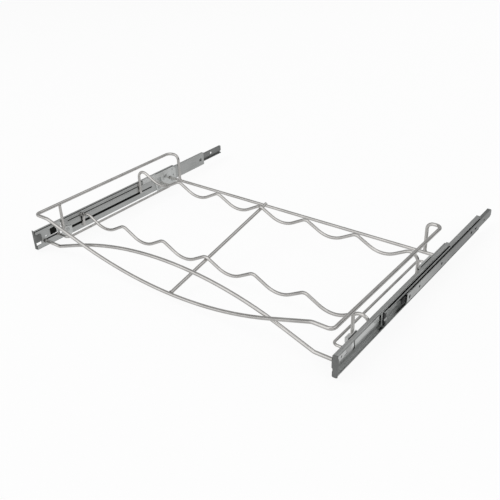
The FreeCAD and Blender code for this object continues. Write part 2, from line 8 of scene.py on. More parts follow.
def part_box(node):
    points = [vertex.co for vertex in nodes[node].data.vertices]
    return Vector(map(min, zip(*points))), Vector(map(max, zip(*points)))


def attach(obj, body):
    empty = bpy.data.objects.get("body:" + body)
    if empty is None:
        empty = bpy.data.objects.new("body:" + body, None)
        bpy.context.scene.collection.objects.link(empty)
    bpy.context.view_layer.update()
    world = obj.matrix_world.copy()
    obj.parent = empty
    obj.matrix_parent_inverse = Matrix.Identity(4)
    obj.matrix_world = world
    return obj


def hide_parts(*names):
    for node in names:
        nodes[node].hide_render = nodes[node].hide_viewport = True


bl_info = {
    "name": "Pull-out Wine Rack",
    "version": (1, 0, 0),
    "blender": (4, 5, 0),
    "location": "View3D > Sidebar > Wine Rack",
    "description": "Plated wire, zinc slides, weld beads and moulded levers for a pull-out wine rack",
    "category": "Object",
}

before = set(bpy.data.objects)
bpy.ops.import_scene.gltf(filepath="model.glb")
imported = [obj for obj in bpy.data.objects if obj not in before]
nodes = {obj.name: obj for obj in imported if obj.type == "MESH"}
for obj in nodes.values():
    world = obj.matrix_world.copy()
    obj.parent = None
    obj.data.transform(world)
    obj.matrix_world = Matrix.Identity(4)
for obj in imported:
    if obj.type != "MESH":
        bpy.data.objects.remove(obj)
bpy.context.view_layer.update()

SIDES = ("right", "left")
OUTWARD = {"right": 1.0, "left": -1.0}
WIRES = ("top_rail", "front_arch_wire", "centre_wire", "front_wave_wire", "back_wave_wire", "back_cross_wire")

# Along the slides: the crimped front ends, where the painted shade along the rack member's long pressed lines
# starts, how far ahead of the rear bracket it ends, and how fast a mask fades
CRIMPED_END = 0.012
LINE_START = 0.070
LINE_END_GAP = 0.006
FADE = 0.001

# Heights from a slide's middle line where the painted shade on the outer races of the middle and cabinet
# members begins
MIDDLE_RACE = 0.01255
CABINET_RACE = 0.00805
RACE_FADE = 0.0001

# Where the masks of painted shade and highlight rise and fall: the first three over depth from the basket
# side of the rack member's web, the others over height from its middle line
BASKET_FACE = (0.00004, 0.00002)
CUT_EDGES = ((0.00004, 0.00009), (0.00112, 0.00100))
CHANNEL_FACE = ((0.00116, 0.00119), (0.00140, 0.00130))
LOW_HALF = (-0.0032, -0.0035)
LOWER_LINE = ((-0.0078, -0.0070), (-0.0022, -0.0026))
UPPER_LINE = ((0.0080, 0.0086), (0.0108, 0.0102))

# Painted light on the plating: how far the rack member is dimmed beside the painted highlight on the upper
# part of its channel face, the painted shade low in its channel and along its upper line, and the painted
# shade on the cabinet member far back
RACK_DIM_OFF_HIGHLIGHT = 0.33
CHANNEL_PAINTED_SHADE = 0.36
UPPER_LINE_PAINTED_SHADE = 0.9
CABINET_BACK_PAINTED_SHADE = 0.52
CABINET_BACK_SHADE_RUN = 0.11

# Radii of the wires, and thickness of the brackets
HEAVY_WIRE_R = 0.0028
BASE_WIRE_R = 0.0021
POST_R = 0.0025
BRACKET_SHEET = 0.0015


# Settings that a user would change

class WireSettings(bpy.types.PropertyGroup):
    """Bright plated wire and its welds."""

    plating: bpy.props.FloatVectorProperty(
        name="Plating", description="Colour of the plated wire", subtype="COLOR", size=3,
        min=0.0, max=1.0, default=(0.72, 0.705, 0.685))
    gloss_low: bpy.props.FloatProperty(
        name="Smoothest", description="Lowest roughness of the plating", default=0.15, min=0.0, max=1.0)
    gloss_high: bpy.props.FloatProperty(
        name="Dullest", description="Highest roughness of the plating", default=0.25, min=0.0, max=1.0)
    bead_radius: bpy.props.FloatProperty(
        name="Weld bead", description="Radius of a weld bead", subtype="DISTANCE", unit="LENGTH",
        default=0.0017, min=0.0005, max=0.004)


class SheetSettings(bpy.types.PropertyGroup):
    """Zinc-plated sheet steel of the slides, brackets and end plates."""

    zinc: bpy.props.FloatVectorProperty(
        name="Zinc", description="Colour of the zinc plating", subtype="COLOR", size=3,
        min=0.0, max=1.0, default=(0.60, 0.612, 0.605))
    shade: bpy.props.FloatVectorProperty(
        name="Dull zinc", description="Colour where the plating is dull", subtype="COLOR", size=3,
        min=0.0, max=1.0, default=(0.48, 0.492, 0.486))
    # Near-black colour painted as shade in covered races, pressed lines and cut edges, and to dim the rack
    # member beside its painted highlight
    painted_shade_colour: bpy.props.FloatVectorProperty(
        name="Painted shade", description="Colour of old grease in races and pressed lines", subtype="COLOR", size=3,
        min=0.0, max=1.0, default=(0.018, 0.019, 0.018))
    streak_pitch: bpy.props.FloatProperty(
        name="Rolling marks", description="Pitch of the rolling marks along the slides", subtype="DISTANCE",
        unit="LENGTH", default=0.0016, min=0.0003, max=0.01)


class PlasticSettings(bpy.types.PropertyGroup):
    """Moulded plastic of the levers and stop blocks."""

    colour: bpy.props.FloatVectorProperty(
        name="Plastic", description="Colour of the moulded plastic", subtype="COLOR", size=3,
        min=0.0, max=1.0, default=(0.012, 0.013, 0.014))
    rib_count: bpy.props.IntProperty(
        name="Grip ribs", description="Ribs across the lever's thumb pad", default=4, min=2, max=8)


class StudioSettings(bpy.types.PropertyGroup):
    """Floor, light and camera."""

    floor: bpy.props.FloatVectorProperty(
        name="Floor", description="Colour of the floor", subtype="COLOR", size=3,
        min=0.0, max=1.0, default=(0.93, 0.93, 0.93))
    mirrored_floor: bpy.props.FloatVectorProperty(
        name="Mirrored floor", description="The floor as bright metal mirrors it", subtype="COLOR", size=3,
        min=0.0, max=1.0, default=(0.58, 0.58, 0.58))
    lens: bpy.props.FloatProperty(
        name="Lens", description="Focal length on a 36 mm sensor", subtype="DISTANCE_CAMERA", default=49.517,
        min=20.0, max=200.0)
    key_power: bpy.props.FloatProperty(
        name="Key light", description="Power of the main soft light", subtype="POWER", unit="POWER",
        default=26.0, min=0.0)


# Shader tools

# Most of a noise lies between these values
NOISE_ENDS = (0.3, 0.7)


class Flow:
    """An output socket of a finish; arithmetic on it adds Math nodes."""

    def __init__(self, finish, socket):
        self.finish = finish
        self.socket = socket

    def combine(self, operation, first, second):
        return self.finish.node("ShaderNodeMath", {"operation": operation}, {0: first, 1: second})

    def __add__(self, other):
        return self.combine("ADD", self, other)

    def __sub__(self, other):
        return self.combine("SUBTRACT", self, other)

    def __rsub__(self, other):
        return self.combine("SUBTRACT", other, self)

    def __mul__(self, other):
        return self.combine("MULTIPLY", self, other)


class Finish:
    """A material with a Principled shader and the nodes that vary it."""

    def __init__(self, name, **uniform):
        self.material = bpy.data.materials.new(name)
        self.material.use_nodes = True
        self.tree = self.material.node_tree
        self.shader = self.tree.nodes["Principled BSDF"]
        for socket, value in uniform.items():
            self.shader.inputs[socket.replace("_", " ")].default_value = value

    def node(self, kind, settings, inputs, output=None):
        made = self.tree.nodes.new(kind)
        for key, value in settings.items():
            setattr(made, key, value)
        for key, value in inputs.items():
            socket = made.inputs[key] if isinstance(key, int) else self.open_socket(made, key)
            self.feed(socket, value)
        outputs = [socket for socket in made.outputs if socket.enabled]
        return Flow(self, made.outputs[output] if output else outputs[0])

    def open_socket(self, made, name):
        return next(socket for socket in made.inputs if socket.name == name and socket.enabled)

    def feed(self, socket, value):
        if isinstance(value, Flow):
            self.tree.links.new(value.socket, socket)
        else:
            socket.default_value = value

    def place(self):
        return self.node("ShaderNodeTexCoord", {}, {}, "Object")

    def axis(self, name):
        return self.node("ShaderNodeSeparateXYZ", {}, {"Vector": self.place()}, name)

    def size_of(self, value):
        return self.node("ShaderNodeMath", {"operation": "ABSOLUTE"}, {0: value})

    def stretched(self, scale):
        return self.node("ShaderNodeMapping", {}, {"Vector": self.place(), "Scale": scale})

    def noise(self, scale, detail=3.0, stretch=(1.0, 1.0, 1.0)):
        return self.node("ShaderNodeTexNoise", {}, {
            "Vector": self.stretched(stretch), "Scale": scale, "Detail": detail}, "Fac")

    def blend(self, share, low, high):
        return self.node("ShaderNodeMix", {"data_type": "RGBA"}, {"Factor": share, "A": low, "B": high})

    def most(self, first, second):
        return self.node("ShaderNodeMath", {"operation": "MAXIMUM"}, {0: first, 1: second})

    def between(self, value, low, high, to_low=0.0, to_high=1.0):
        return self.node("ShaderNodeMapRange", {}, {
            "Value": value, "From Min": low, "From Max": high, "To Min": to_low, "To Max": to_high})

    def window(self, value, rise, fall):
        """1 inside and 0 outside; each edge is a pair, first where it is 0 and then where it is 1."""
        return self.between(value, *rise) * self.between(value, *fall)

    def bump(self, height, depth, strength=1.0):
        return self.node("ShaderNodeBump", {}, {"Height": height, "Distance": depth, "Strength": strength})

    def set(self, **links):
        for socket, value in links.items():
            self.feed(self.shader.inputs[socket.replace("_", " ")], value)
        return self.material


def rgba(colour, gain=1.0):
    return (colour[0] * gain, colour[1] * gain, colour[2] * gain, 1.0)


def plated_wire(settings):
    """Nickel-bright wire: faint drawing lines, soft clouding and a warm grey cast."""
    finish = Finish("plated_wire", Metallic=1.0)
    cloud = finish.noise(38.0, detail=4.0)
    speck = finish.noise(900.0, detail=2.0)
    grain = finish.noise(420.0, stretch=(1.0, 0.15, 1.0))
    share = finish.between(cloud * 0.75 + speck * 0.25, 0.35, 0.65)
    colour = finish.blend(share, rgba(settings.plating, 0.84), rgba(settings.plating, 1.08))
    rough = finish.between(grain * 0.5 + cloud * 0.5, *NOISE_ENDS, settings.gloss_low, settings.gloss_high)
    normal = finish.bump(grain, depth=0.00004, strength=0.6)
    return finish.set(Base_Color=colour, Roughness=rough, Normal=normal)


def slide_middle(side):
    low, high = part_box("rack_member_" + side)
    return (low.z + high.z) / 2


def web_depth(finish):
    """Distance outward from the basket side of the rack members' webs."""
    web = abs(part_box("rack_member_right")[0].x)
    return finish.size_of(finish.axis("X")) - web


def stretch(finish, start, end):
    """1 between two places along the slides."""
    return finish.window(finish.axis("Y"), (start, start + FADE), (end, end - FADE))


def race_painted_shade(finish, side, member, reach, cover):
    """Painted shade: 1 on a member's outer race, beyond this height from the middle line, as far as its cover
    goes.
    """
    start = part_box(member + "_member_" + side)[0].y + CRIMPED_END
    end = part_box(cover + "_member_" + side)[1].y
    height = finish.size_of(finish.axis("Z") - slide_middle(side))
    return finish.between(height, reach - RACE_FADE, reach) * stretch(finish, start, end)


def rack_painted_light(finish, side):
    """A rack member's painted light: painted shade near black in its pressed lines and cut edges, a painted
    highlight on the upper part of the web's channel side with painted shade low down, and the rest dimmed.
    """
    depth = web_depth(finish)
    channel = finish.window(depth, *CHANNEL_FACE)
    height = finish.axis("Z") - slide_middle(side)
    low = finish.between(height, *LOW_HALF)
    # Painted light on the channel face: its upper part keeps the full gain as a painted highlight, its lower
    # part gets painted shade, and the rest of the member is dimmed
    channel_painted_light = RACK_DIM_OFF_HIGHLIGHT - channel * RACK_DIM_OFF_HIGHLIGHT + channel * low * CHANNEL_PAINTED_SHADE
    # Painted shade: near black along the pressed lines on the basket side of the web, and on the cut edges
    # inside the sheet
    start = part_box("rack_member_" + side)[0].y + LINE_START
    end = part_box("rear_bracket_" + side)[0].y - LINE_END_GAP
    basket_side = finish.between(depth, *BASKET_FACE)
    lower = finish.window(height, *LOWER_LINE)
    upper = finish.window(height, *UPPER_LINE) * UPPER_LINE_PAINTED_SHADE
    line_painted_shade = basket_side * stretch(finish, start, end) * finish.most(lower, upper)
    cut_edge_painted_shade = finish.window(depth, *CUT_EDGES)
    return finish.most(finish.most(cut_edge_painted_shade, line_painted_shade), channel_painted_light)


def cabinet_painted_shade(finish, side):
    """A cabinet member's painted shade: races dark under the middle member, and darker towards the back."""
    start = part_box("back_wave_wire")[0].y
    # Painted shade: the member grows darker towards the back
    dull = finish.between(finish.axis("Y"), start, start + CABINET_BACK_SHADE_RUN, to_high=CABINET_BACK_PAINTED_SHADE)
    return finish.most(race_painted_shade(finish, side, "cabinet", CABINET_RACE, "middle"), dull)


def zinc_sheet(settings, name, gain=1.0, rough_low=0.22, rough_high=0.4, painted_light_mask=None):
    """Zinc-plated strip: rolling marks along the slide, cloudy plating and a cool cast."""
    finish = Finish(name, Metallic=1.0)
    cloud = finish.noise(26.0, detail=4.0)
    streak = finish.noise(1.0 / settings.streak_pitch, detail=4.0, stretch=(1.0, 0.035, 1.0))
    speck = finish.noise(1400.0, detail=2.0)
    share = finish.between(cloud * 0.55 + streak * 0.35 + speck * 0.1, 0.36, 0.64)
    colour = finish.blend(share, rgba(settings.shade, gain), rgba(settings.zinc, gain))
    # Painted shade and highlight: the colour blends towards the near-black painted shade colour as the mask
    # rises
    if painted_light_mask:
        colour = finish.blend(painted_light_mask(finish), colour, rgba(settings.painted_shade_colour))
    rough = finish.between(streak * 0.6 + cloud * 0.4, 0.32, 0.68, rough_low, rough_high)
    normal = finish.bump(streak * 0.8 + speck * 0.2, depth=0.00006, strength=0.5)
    return finish.set(Base_Color=colour, Roughness=rough, Normal=normal)


def shaded_stamped_plate(settings):
    """End plates: duller zinc, darkened further as painted shade for a front that faces away from the light,
    with a fine tumbled grain.
    """
    finish = Finish("shaded_stamped_plate", Metallic=1.0)
    cloud = finish.noise(60.0, detail=4.0)
    grain = finish.noise(1100.0)
    share = finish.between(cloud * 0.6 + grain * 0.4, 0.35, 0.65)
    # Painted shade: the plate is kept at about half the dull zinc
    colour = finish.blend(share, rgba(settings.shade, 0.50), rgba(settings.shade, 0.66))
    rough = finish.between(grain, *NOISE_ENDS, to_low=0.38, to_high=0.52)
    normal = finish.bump(grain, depth=0.00005, strength=0.5)
    return finish.set(Base_Color=colour, Roughness=rough, Normal=normal)


def weld_metal(settings):
    """Weld beads: rippled, a little darker and duller than the plated wire."""
    finish = Finish("weld_metal", Metallic=1.0)
    ripple = finish.noise(700.0)
    colour = finish.blend(ripple, rgba(settings.plating, 0.6), rgba(settings.plating, 0.95))
    rough = finish.between(ripple, *NOISE_ENDS, to_low=0.34, to_high=0.55)
    normal = finish.bump(ripple, depth=0.00015)
    return finish.set(Base_Color=colour, Roughness=rough, Normal=normal)


def collar_painted_shadow():
    """Near-black steel: painted contact shadow where the arch wire meets the slide."""
    finish = Finish("collar_painted_shadow", Metallic=1.0)
    mottle = finish.noise(500.0)
    # Painted contact shadow: near-black colours
    colour = finish.blend(mottle, (0.05, 0.05, 0.048, 1.0), (0.14, 0.14, 0.135, 1.0))
    rough = finish.between(mottle, *NOISE_ENDS, to_low=0.3, to_high=0.5)
    return finish.set(Base_Color=colour, Roughness=rough)


def polished_ball(settings):
    """Bright ground balls."""
    finish = Finish("polished_ball", Metallic=1.0)
    speck = finish.noise(1600.0, detail=2.0)
    colour = finish.blend(speck, rgba(settings.zinc, 1.2), rgba(settings.zinc, 1.5))
    rough = finish.between(speck, *NOISE_ENDS, to_low=0.08, to_high=0.16)
    return finish.set(Base_Color=colour, Roughness=rough)


def moulded_plastic(settings):
    """Black plastic with a fine spark-eroded grain."""
    finish = Finish("moulded_plastic", Metallic=0.0)
    grain = finish.noise(2600.0, detail=2.0)
    cloud = finish.noise(160.0)
    colour = finish.blend(cloud, rgba(settings.colour, 0.8), rgba(settings.colour, 1.6))
    rough = finish.between(grain, *NOISE_ENDS, to_low=0.34, to_high=0.5)
    normal = finish.bump(grain, depth=0.00004, strength=0.7)
    return finish.set(Base_Color=colour, Roughness=rough, Normal=normal)


def dress(names, material):
    """Gives CAD nodes a finish."""
    for name in names:
        mesh = nodes[name].data
        mesh.materials.clear()
        mesh.materials.append(material)


def both(*names):
    return [name + "_" + side for name in names for side in SIDES]


# Mesh tools

SHARP_ANGLE = math.radians(35)
TURNED_STEPS = 32
# How deep and how close the lumps of a weld bead are, and how far a seed shifts them in its second direction
LUMP_DEPTH = 0.16
LUMP_SCALE = 2.3
SEED_SHIFT = 0.7


def new_piece(name, mesh, material, body):
    piece = bpy.data.objects.new(name, mesh)
    bpy.context.scene.collection.objects.link(piece)
    mesh.materials.append(material)
    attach(piece, body)
    return piece


def add_bead(mesh, centre, size, seed):
    """A lumpy drop of weld metal with the given half sizes."""
    made = bmesh.ops.create_icosphere(mesh, subdivisions=3, radius=1.0)
    for vert in made["verts"]:
        place = vert.co * LUMP_SCALE + Vector((seed, seed * SEED_SHIFT, 0.0))
        wobble = 1.0 + LUMP_DEPTH * noise.noise(place)
        vert.co = Vector((vert.co.x * size[0], vert.co.y * size[1], vert.co.z * size[2])) * wobble
        vert.co += Vector(centre)


def spread(start, end, steps):
    """Even angles from start to end degrees."""
    return [math.radians(start + (end - start) * step / steps) for step in range(steps + 1)]


def finish_mesh(mesh, name):
    """Turns a built mesh into data, smooth but for its sharp edges."""
    data = bpy.data.meshes.new(name)
    bmesh.ops.recalc_face_normals(mesh, faces=mesh.faces)
    mesh.to_mesh(data)
    mesh.free()
    for polygon in data.polygons:
        polygon.use_smooth = True
    data.set_sharp_from_angle(angle=SHARP_ANGLE)
    return data


def add_turned(mesh, centre, profile, outward):
    """A ring turned about a line along X: the profile holds radius and distance outward."""
    angles = [math.tau * step / TURNED_STEPS for step in range(TURNED_STEPS)]
    rings = []
    for radius, along in profile:
        x = centre[0] + outward * along
        ring = [(radius * math.cos(angle), radius * math.sin(angle)) for angle in angles]
        rings.append([mesh.verts.new((x, centre[1] + y, centre[2] + z)) for y, z in ring])
    for near, far in zip(rings, rings[1:] + rings[:1]):
        for step in range(TURNED_STEPS):
            after = (step + 1) % TURNED_STEPS
            mesh.faces.new((near[step], near[after], far[after], far[step]))


def rounded_plate(mesh, outline, low, high, soften):
    """A flat piece in the YZ plane between two X values, its edges softened."""
    bottom = [mesh.verts.new((low, y, z)) for y, z in outline]
    face = mesh.faces.new(bottom)
    made = bmesh.ops.extrude_face_region(mesh, geom=[face])
    top = [item for item in made["geom"] if isinstance(item, bmesh.types.BMVert)]
    bmesh.ops.translate(mesh, verts=top, vec=(high - low, 0.0, 0.0))
    verts = set(bottom) | set(top)
    edges = [edge for edge in mesh.edges if edge.verts[0] in verts and edge.verts[1] in verts]
    bmesh.ops.bevel(mesh, geom=edges, offset=soften, segments=3, profile=0.6, affect="EDGES")


# Operators

class WINERACK_OT_wire_finish(bpy.types.Operator):
    """Plate the basket's wires"""

    bl_idname = "winerack.wire_finish"
    bl_label = "Wire Plating"

    def execute(self, context):
        material = plated_wire(context.scene.rack_wire)
        dress(list(WIRES) + both("rear_upright", "base_wire", "front_post"), material)
        return {"FINISHED"}


class WINERACK_OT_slide_finish(bpy.types.Operator):
    """Zinc-plate the slide members, ball cages and brackets"""

    bl_idname = "winerack.slide_finish"
    bl_label = "Slide Plating"

    def execute(self, context):
        settings = context.scene.rack_sheet
        for side in SIDES:
            self.dress_slide(settings, side)
        bracket = zinc_sheet(settings, "bracket_zinc", gain=1.5, rough_low=0.28, rough_high=0.46)
        dress(both("front_bracket", "rear_bracket", "rear_boss"), bracket)
        cage = zinc_sheet(settings, "cage_zinc", gain=0.85, rough_low=0.3, rough_high=0.5)
        dress(both("inner_cage", "outer_cage"), cage)
        return {"FINISHED"}

    def dress_slide(self, settings, side):
        # Gains per member: the rack's high gain is dimmed by its mask everywhere but the upper part of its
        # channel face, which stays bright as a painted highlight
        looks = (
            ("rack", 1.6, lambda finish: rack_painted_light(finish, side)),
            ("middle", 1.02, lambda finish: race_painted_shade(finish, side, "middle", MIDDLE_RACE, "rack")),
            ("cabinet", 1.15, lambda finish: cabinet_painted_shade(finish, side)),
        )
        for name, gain, painted_light_mask in looks:
            finish = zinc_sheet(settings, name + "_zinc_" + side, gain, painted_light_mask=painted_light_mask)
            dress([name + "_member_" + side], finish)


class WINERACK_OT_hardware_finish(bpy.types.Operator):
    """Finish the balls, rivets and pins"""

    bl_idname = "winerack.hardware_finish"
    bl_label = "Balls and Rivets"

    def execute(self, context):
        settings = context.scene.rack_sheet
        dress(both("inner_balls", "outer_balls"), polished_ball(settings))
        rivet = zinc_sheet(settings, "rivet_zinc", gain=1.15, rough_low=0.2, rough_high=0.32)
        dress(["bracket_rivets"] + both("stop_rivet", "lever_pin"), rivet)
        return {"FINISHED"}


class WINERACK_OT_weld_beads(bpy.types.Operator):
    """Add the weld beads where wires meet each other and the slides"""

    bl_idname = "winerack.weld_beads"
    bl_label = "Weld Beads"

    # Shapes of the beads: half sizes along X, Y and Z, in bead radii
    cradle_side = (1.0, 1.3, 0.8)
    cradle_end = (1.2, 0.8, 0.8)
    bow_joint = (1.1, 1.0, 1.3)
    upright_foot = (0.8, 1.5, 0.7)
    cradle_leg = (0.7, 0.8, 2.0)
    base_end = (0.7, 1.8, 1.7)
    round_joint = (0.7, 2.2, 2.2)
    post_side = (0.8, 0.8, 2.4)
    post_top = (1.5, 1.9, 0.8)
    # How far a bead's middle stands beside a wire, and off a wall
    beside = 0.0022
    off_wall = 0.0006
    # Height over the centre wire's axis, and share of the cradle wire's radius, where they cross
    seat = 0.0027
    edge = 0.8
    # The joint of centre wire and front bow: beside the wire's middle, back and up from its box
    joint = (0.0020, 0.0019, 0.0030)
    # Heights of the beads on the cradles' legs, and how far they stand off the wall and inside the wire
    leg_heights = (("front_wave_wire", (0.014, 0.031)), ("back_wave_wire", (0.022, 0.034)))
    leg_off_wall = 0.0008
    leg_edge = 0.0004
    # Beads on a front post: over its foot and under its top
    post_height = 0.009
    top_gap = 0.0002
    # The first seed of the beads on either side; those of the basket start at 0
    side_seeds = 40

    def execute(self, context):
        settings = context.scene.rack_wire
        material = weld_metal(settings)
        self.add_beads("basket_welds", self.basket_places(), 0, settings, material)
        for side in SIDES:
            self.add_beads("side_welds_" + side, self.side_places(side), self.side_seeds, settings, material)
        return {"FINISHED"}

    def add_beads(self, name, places, first_seed, settings, material):
        mesh = bmesh.new()
        for index, (centre, ratio) in enumerate(places):
            add_bead(mesh, centre, [settings.bead_radius * part for part in ratio], first_seed + index)
        new_piece(name, finish_mesh(mesh, name), material, "rack")

    def basket_places(self):
        """Crossings in the middle plane and along the back."""
        places = []
        wire_low, wire_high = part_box("centre_wire")
        slope = (wire_high.z - wire_low.z) / (wire_high.y - wire_low.y)
        for name in ("front_wave_wire", "back_wave_wire"):
            low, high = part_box(name)
            y = (low.y + high.y) / 2
            wire_r = (high.y - low.y) / 2
            z = wire_low.z + HEAVY_WIRE_R + slope * (y - wire_low.y) + self.seat
            places += [((sign * self.beside, y, z), self.cradle_side) for sign in (-1, 1)]
            places += [((0.0, y + sign * wire_r * self.edge, z), self.cradle_end) for sign in (-1, 1)]
        across, back, up = self.joint
        places += [((sign * across, wire_low.y + back, wire_low.z + up), self.bow_joint) for sign in (-1, 1)]
        cross_low, cross_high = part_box("back_cross_wire")
        foot_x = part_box("rear_upright_right")[0].x + (cross_high.z - cross_low.z) / 2
        foot_y = (cross_low.y + cross_high.y) / 2
        for sign in (-1, 1):
            places += [((sign * foot_x + turn * self.beside, foot_y, cross_high.z), self.upright_foot)
                       for turn in (-1, 1)]
        return places

    def side_places(self, side):
        """Where wires meet a slide or its brackets."""
        places = []
        wall = min(abs(corner.x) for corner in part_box("rack_member_" + side))
        bracket = wall - BRACKET_SHEET
        for name, heights in self.leg_heights:
            low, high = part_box(name)
            for z in heights:
                edges = (low.y + self.leg_edge, high.y - self.leg_edge)
                places += [((wall - self.leg_off_wall, y, z), self.cradle_leg) for y in edges]
        low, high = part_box("base_wire_" + side)
        z = (low.z + high.z) / 2
        places.append(((wall - self.off_wall, low.y + BASE_WIRE_R, z), self.base_end))
        places.append(((bracket - self.off_wall, high.y - BASE_WIRE_R, z), self.base_end))
        low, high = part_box("back_cross_wire")
        cross = (bracket - self.off_wall, (low.y + high.y) / 2, (low.z + high.z) / 2)
        places.append((cross, self.round_joint))
        low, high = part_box("front_post_" + side)
        post_y = (low.y + high.y) / 2
        post_z = low.z + self.post_height
        places += [((bracket - self.off_wall, post_y + turn * self.beside, post_z), self.post_side)
                   for turn in (-1, 1)]
        places.append(((bracket - POST_R, post_y, high.z - self.top_gap), self.post_top))
        low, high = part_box("front_arch_wire")
        places.append(((wall - self.off_wall, low.y + HEAVY_WIRE_R, low.z + HEAVY_WIRE_R), self.round_joint))
        return [((OUTWARD[side] * centre[0], centre[1], centre[2]), ratio) for centre, ratio in places]


class WINERACK_OT_release_levers(bpy.types.Operator):
    """Build the ribbed release levers"""

    bl_idname = "winerack.release_levers"
    bl_label = "Release Levers"

    eye_r = 0.004
    eye_turn = (-140, 140)
    eye_steps = 14
    head_length = 0.012
    neck_half = 0.0021
    neck_run = 0.003
    shoulder = 0.001
    rib_margin = 0.002
    rib_start = 0.0022
    ribs_short_of_head = 0.003
    skin = 0.00002
    # Shares of the head's half height, of the thickness of the lever's box and of the ribs' pitch
    chamfer_share = 0.35
    inset_share = 0.16
    rib_share = 0.45
    soften = 0.00035
    rib_soften = 0.00015

    def execute(self, context):
        settings = context.scene.rack_plastic
        material = moulded_plastic(settings)
        for side in SIDES:
            low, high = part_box("release_lever_" + side)
            mesh = bmesh.new()
            self.add_body(mesh, low, high)
            self.add_ribs(mesh, low, high, settings.rib_count)
            name = "ribbed_lever_" + side
            piece = new_piece(name, finish_mesh(mesh, name), material, "lever_" + side)
            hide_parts("release_lever_" + side)
        return {"FINISHED"}

    def add_body(self, mesh, low, high):
        """Head, neck and the eye round the pin."""
        middle = (low.z + high.z) / 2
        half = (high.z - low.z) / 2
        chamfer = half * self.chamfer_share
        pivot = high.y - self.eye_r
        head_end = low.y + self.head_length
        outline = [
            (low.y, middle - half + chamfer), (low.y + chamfer, middle - half),
            (head_end - self.shoulder, middle - half), (head_end + self.neck_run, middle - self.neck_half),
        ]
        turns = spread(*self.eye_turn, self.eye_steps)
        eye = [(pivot + self.eye_r * math.cos(turn), middle + self.eye_r * math.sin(turn)) for turn in turns]
        upper = [(y, 2 * middle - z) for y, z in reversed(outline)]
        inset = (high.x - low.x) * self.inset_share
        rounded_plate(mesh, outline + eye + upper, low.x + inset, high.x - inset, self.soften)

    def add_ribs(self, mesh, low, high, rib_count):
        """Grip ribs across the head, almost as thick as the lever's box."""
        bottom = low.z + self.rib_margin
        top = high.z - self.rib_margin
        pitch = (self.head_length - self.ribs_short_of_head) / rib_count
        width = pitch * self.rib_share
        for index in range(rib_count):
            y = low.y + self.rib_start + pitch * index
            rib = [(y, bottom), (y + width, bottom), (y + width, top), (y, top)]
            rounded_plate(mesh, rib, low.x + self.skin, high.x - self.skin, self.rib_soften)


class WINERACK_OT_stop_blocks(bpy.types.Operator):
    """Build the stop blocks in the front of the middle members"""

    bl_idname = "winerack.stop_blocks"
    bl_label = "Stop Blocks"

    leg_inset = 0.0025
    corner = 0.001
    soften = 0.0003
    # The slope from the leg's top to the pad: distance from the back, and height over the middle
    leg_top = 0.001
    slope = ((0.0005, 0.003), (0.0, 0.0045))
    # The pad's top corners, cut off at the back and at the front
    back_cut = 0.0012
    front_cut = (0.0022, 0.0030)
    # The eyelet's section: radius and distance outward from the rivet's head
    bore = ((0.0012, -0.0006), (0.0013, 0.0), (0.0018, 0.0004))
    roll_inset = 0.0006
    rim_inset = 0.0001
    roll_height = 0.0004

    def execute(self, context):
        material = moulded_plastic(context.scene.rack_plastic)
        sheet = context.scene.rack_sheet
        rivet = zinc_sheet(sheet, "eyelet_zinc", gain=1.4, rough_low=0.16, rough_high=0.26)
        for side in SIDES:
            low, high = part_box("middle_stop_" + side)
            mesh = bmesh.new()
            rounded_plate(mesh, self.outline(low, high), low.x, high.x, self.soften)
            name = "stop_block_" + side
            piece = new_piece(name, finish_mesh(mesh, name), material, "middle_" + side)
            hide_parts("middle_stop_" + side)
            self.add_eyelet(side, rivet)
        return {"FINISHED"}

    def outline(self, low, high):
        """A pad with a narrower leg below it, from the leg's front foot round by the back."""
        middle = (low.z + high.z) / 2
        leg = high.y - self.leg_inset
        foot = [(low.y, low.z + self.corner), (low.y + self.corner, low.z), (leg - self.corner, low.z),
                (leg, low.z + self.corner)]
        back = [(leg, middle + self.leg_top)]
        back += [(high.y - inset, middle + rise) for inset, rise in self.slope]
        run, drop = self.front_cut
        top = [(high.y - self.back_cut, high.z), (low.y + run, high.z), (low.y, high.z - drop)]
        return foot + back + top

    def add_eyelet(self, side, material):
        """The rolled rim of the tubular rivet that holds the stop block."""
        low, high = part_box("stop_rivet_" + side)
        face = high.x if side == "right" else low.x
        rim = (high.y - low.y) / 2
        profile = list(self.bore) + [(rim - self.roll_inset, self.roll_height), (rim - self.rim_inset, 0.0),
                                     (rim - self.rim_inset, -self.roll_height)]
        centre = (face, (low.y + high.y) / 2, (low.z + high.z) / 2)
        mesh = bmesh.new()
        add_turned(mesh, centre, profile, OUTWARD[side])
        name = "stop_eyelet_" + side
        new_piece(name, finish_mesh(mesh, name), material, "middle_" + side)


